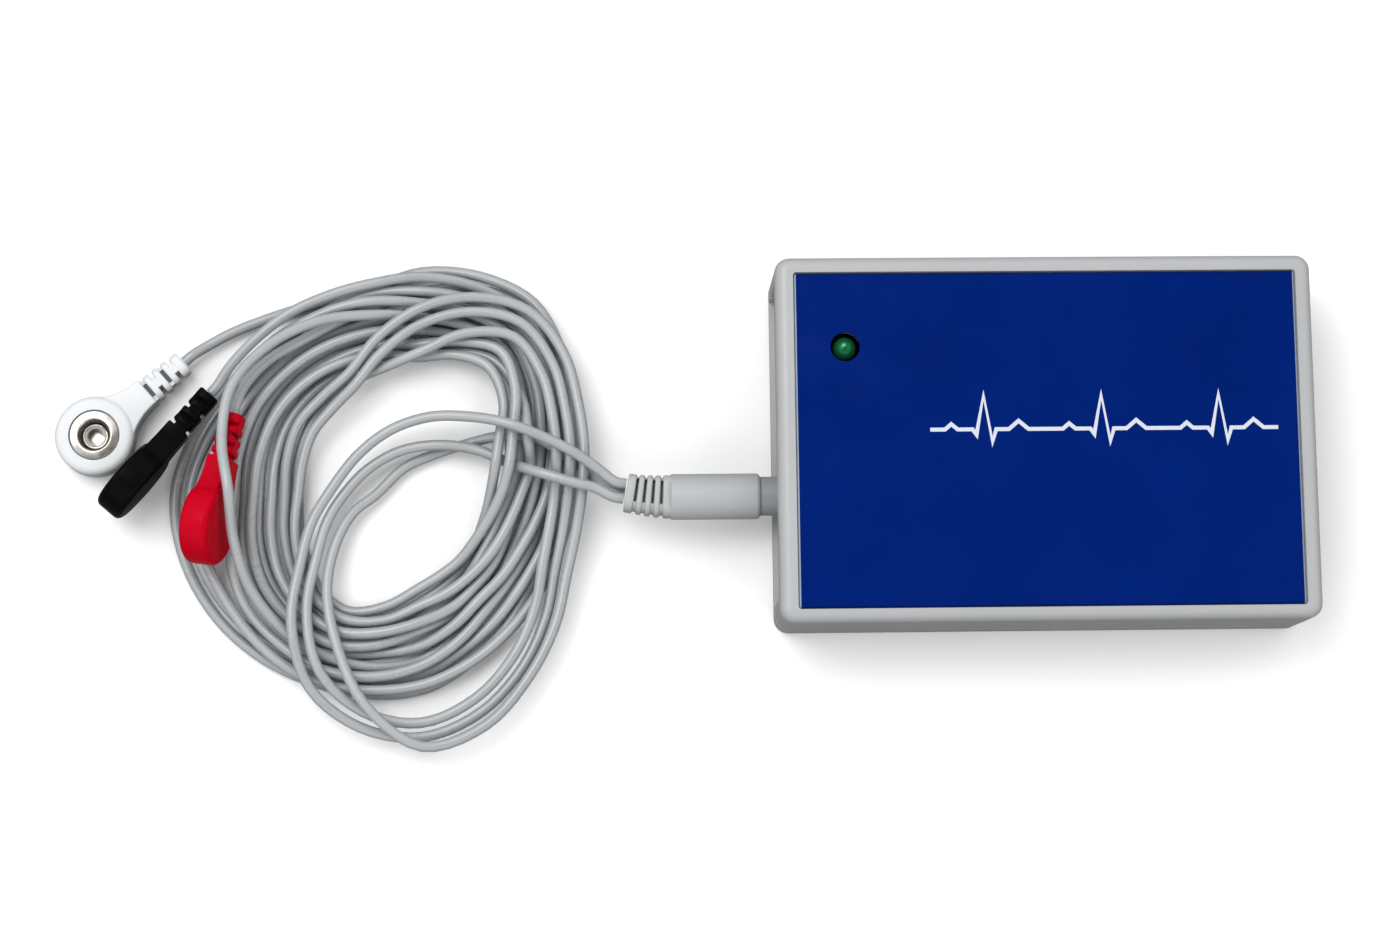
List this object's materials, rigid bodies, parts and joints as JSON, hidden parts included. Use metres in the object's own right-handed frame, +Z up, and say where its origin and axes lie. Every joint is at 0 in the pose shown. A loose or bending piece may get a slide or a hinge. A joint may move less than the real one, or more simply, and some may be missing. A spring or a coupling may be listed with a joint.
{
  "type": "heart-signal recorder",
  "caption": "Pocket recorder for a heart signal: a flat rounded plastic case with a sunk label plate, a lamp, and coiled snap leads on a side plug.",
  "frame": {"origin": "middle of the case's underside, leads left out", "axes": "+X along the case towards the end with the port, +Y away from the near long side, +Z up"},
  "size_m": [0.2586, 0.1019, 0.026],
  "materials": {
    "shell": "fine texture",
    "label": "gloss",
    "lamp": "clear gloss",
    "board": "satin",
    "black_plastic": "satin",
    "white_plastic": "satin",
    "steel": "satin",
    "nickel": "polished",
    "foil": "satin foil",
    "foam": "matt",
    "grip": "satin",
    "nose": "satin",
    "lead": "satin",
    "red_sleeve": "satin",
    "white_boot": "satin",
    "black_boot": "satin",
    "red_boot": "satin"
  },
  "bodies": {
    "case": {"upper_shell": "shell", "lower_shell": "shell", "lead_end_panel": "shell", "port_end_panel": "shell", "label_plate": "label", "circuit_board": "board", "status_lamp": "lamp", "lamp_spacer": "black_plastic", "lamp_leg_left": "steel", "lamp_leg_right": "steel", "processor_chip": "black_plastic", "amplifier_chip": "black_plastic", "memory_chip": "black_plastic", "timing_crystal": "steel", "battery_pad": "foam", "battery_cell": "foil", "battery_guard_board": "board", "battery_socket": "white_plastic", "battery_plug": "white_plastic", "battery_wire_black": "black_plastic", "battery_wire_red": "red_sleeve", "data_port": "steel", "data_port_tongue": "black_plastic", "button_switch": "black_plastic", "lead_socket": "black_plastic", "socket_spring_sleeve": "nickel", "socket_spring_ring": "nickel", "socket_spring_tip": "nickel", "case_screw_1": "steel", "board_screw_1": "steel", "case_screw_2": "steel", "board_screw_2": "steel", "case_screw_3": "steel", "board_screw_3": "steel", "case_screw_4": "steel", "board_screw_4": "steel"},
    "lead_set": {"plug_grip": "grip", "plug_nose": "nose", "plug_sleeve_contact": "nickel", "plug_insulator_rear": "black_plastic", "plug_ring_contact": "nickel", "plug_insulator_front": "black_plastic", "plug_tip_contact": "nickel", "white_snap_boot": "white_boot", "white_snap_cup": "nickel", "white_snap_spring": "steel", "white_lead_wire": "lead", "black_snap_boot": "black_boot", "black_snap_cup": "nickel", "black_snap_spring": "steel", "black_lead_wire": "lead", "red_snap_boot": "red_boot", "red_snap_cup": "nickel", "red_snap_spring": "steel", "red_lead_wire": "lead"},
    "button": {"record_button": "nose", "switch_plunger": "white_plastic"}
  },
  "joints": [
    {"name": "lead_plug_pull", "type": "slide", "parent": "case", "child": "lead_set", "axis": [-1, 0, 0], "range_m": [0, 0.016]},
    {"name": "record_button_press", "type": "slide", "parent": "case", "child": "button", "axis": [-1, 0, 0], "range_m": [0, 0.001], "stiffness_N_per_m": 1500}
  ]
}
